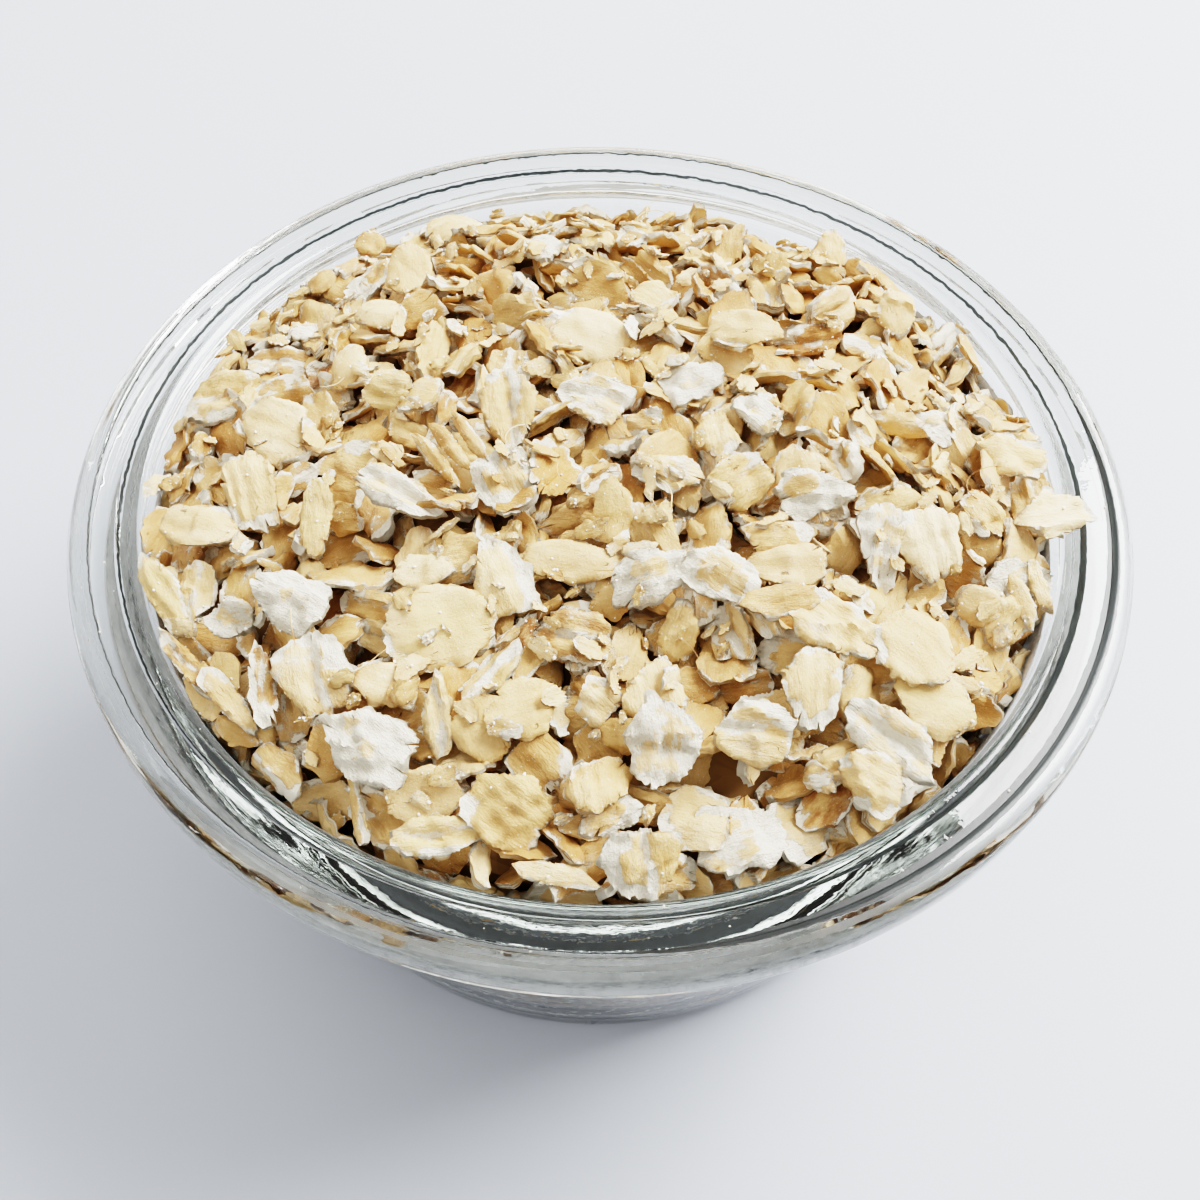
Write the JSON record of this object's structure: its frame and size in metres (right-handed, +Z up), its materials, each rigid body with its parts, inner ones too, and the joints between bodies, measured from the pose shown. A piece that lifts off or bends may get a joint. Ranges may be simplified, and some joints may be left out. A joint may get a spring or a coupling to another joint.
{
  "type": "bowl of rolled oats",
  "caption": "Round clear glass bowl with a thick stepped rim, filled with dry rolled oats that rise in a low uneven heap above the rim.",
  "frame": {"origin": "middle of the foot, on the surface that the bowl stands on", "axes": "+Z up; -Y is the front, towards the picture's camera; +X to the right"},
  "size_m": [0.11, 0.11, 0.066],
  "materials": {
    "clear_glass": "clear pressed glass, polished, with faint mould ripples on the rim",
    "oat_flakes": "dry flattened oat groats: waxy cream and tan bran with matt white floury cracks and edges"
  },
  "bodies": {
    "root": {"glass_bowl": "clear_glass", "rolled_oats": "oat_flakes"}
  },
  "joints": []
}
